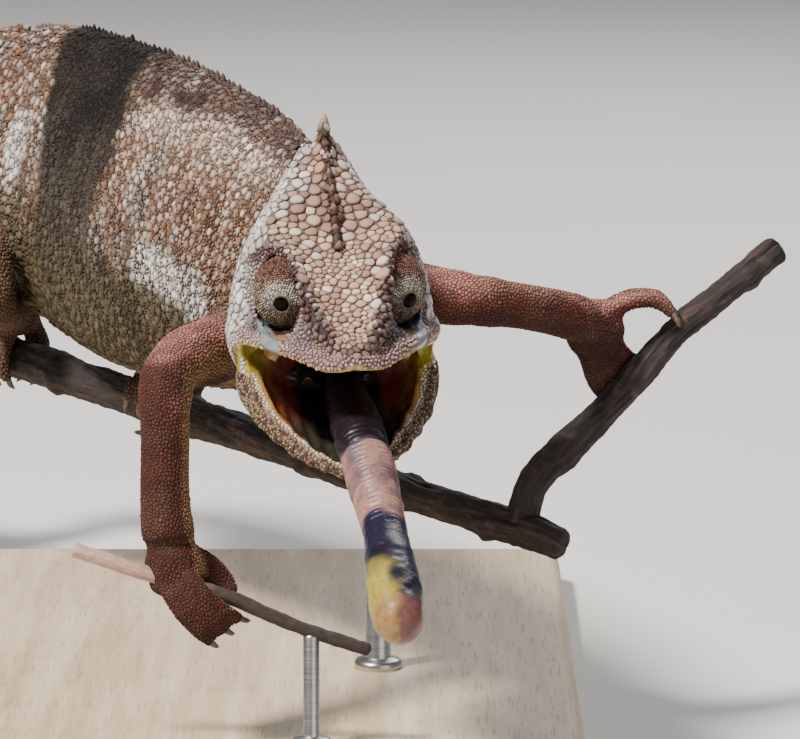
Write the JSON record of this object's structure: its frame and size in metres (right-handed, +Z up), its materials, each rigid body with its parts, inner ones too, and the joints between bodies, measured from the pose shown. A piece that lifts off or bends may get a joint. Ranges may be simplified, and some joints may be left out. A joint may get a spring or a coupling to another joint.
{
  "type": "chameleon figure",
  "caption": "Life-size giant chameleon gripping a forked branch on a plain stand, mouth open, tongue reaching out and tail wound round the branch; one still figure.",
  "frame": {"origin": "middle of the whole object as seen from above, on the underside of the base", "axes": "+Z up; the head faces -Y and the tail end of the branch points to +Y; +X is the animal's left"},
  "size_m": [0.2296, 0.295, 0.13],
  "materials": {
    "skin": "matt pebbled scales, grey-white and pinkish tan with a near-black band and olive-brown flank",
    "head": "pale pinkish-tan bony plates with thin brown grooves",
    "limb": "fine granules, pinkish red above and dark reddish brown below",
    "claw": "smooth dark horn",
    "eyelid": "ringed fine granules, reddish brown above and olive tan below",
    "eye": "wet black pupil in a thin brown iris",
    "mouth": "wet ochre mouth wall darkening to a maroon throat",
    "tongue_root": "wet black-violet",
    "tongue": "wet, finely ringed, pinkish tan going dark violet at the club with a yellow-olive pad",
    "bark": "dark brown bark with fine fissures",
    "twig": "thin bark, pinkish tan to dark brown",
    "base": "dark oiled wood, satin",
    "rod": "brushed steel"
  },
  "bodies": {
    "root": {"perch_branch": "bark", "perch_fork": "bark", "perch_twig": "twig", "stand_base": "base", "stand_rod_branch": "rod", "stand_rod_twig": "rod", "tongue_root": "tongue_root", "tongue_shaft": "tongue", "tongue_club": "tongue", "head": "head", "eye_turret_left": "eyelid", "eyeball_left": "eye", "eye_turret_right": "eyelid", "eyeball_right": "eye", "lower_jaw": "head", "mouth_lining": "mouth", "neck": "skin", "trunk": "skin", "tail_base": "skin", "tail_coil_1": "skin", "tail_coil_2": "skin", "tail_coil_3": "skin", "tail_tip": "skin", "foreleg_right_claw_outer_1": "claw", "foreleg_right_claw_outer_2": "claw", "foreleg_right_claw_inner_1": "claw", "foreleg_right_claw_inner_2": "claw", "foreleg_right_claw_inner_3": "claw", "foreleg_right_hand": "limb", "foreleg_right_upper": "limb", "foreleg_right_lower": "limb", "foreleg_left_claw_outer_1": "claw", "foreleg_left_claw_outer_2": "claw", "foreleg_left_claw_inner_1": "claw", "foreleg_left_claw_inner_2": "claw", "foreleg_left_claw_inner_3": "claw", "foreleg_left_hand": "limb", "foreleg_left_upper": "limb", "foreleg_left_lower": "limb", "hindleg_right_claw_outer_1": "claw", "hindleg_right_claw_outer_2": "claw", "hindleg_right_claw_outer_3": "claw", "hindleg_right_claw_inner_1": "claw", "hindleg_right_claw_inner_2": "claw", "hindleg_right_foot": "limb", "hindleg_right_thigh": "limb", "hindleg_right_shank": "limb", "hindleg_left_claw_outer_1": "claw", "hindleg_left_claw_outer_2": "claw", "hindleg_left_claw_outer_3": "claw", "hindleg_left_claw_inner_1": "claw", "hindleg_left_claw_inner_2": "claw", "hindleg_left_foot": "limb", "hindleg_left_thigh": "limb", "hindleg_left_shank": "limb"}
  },
  "joints": []
}
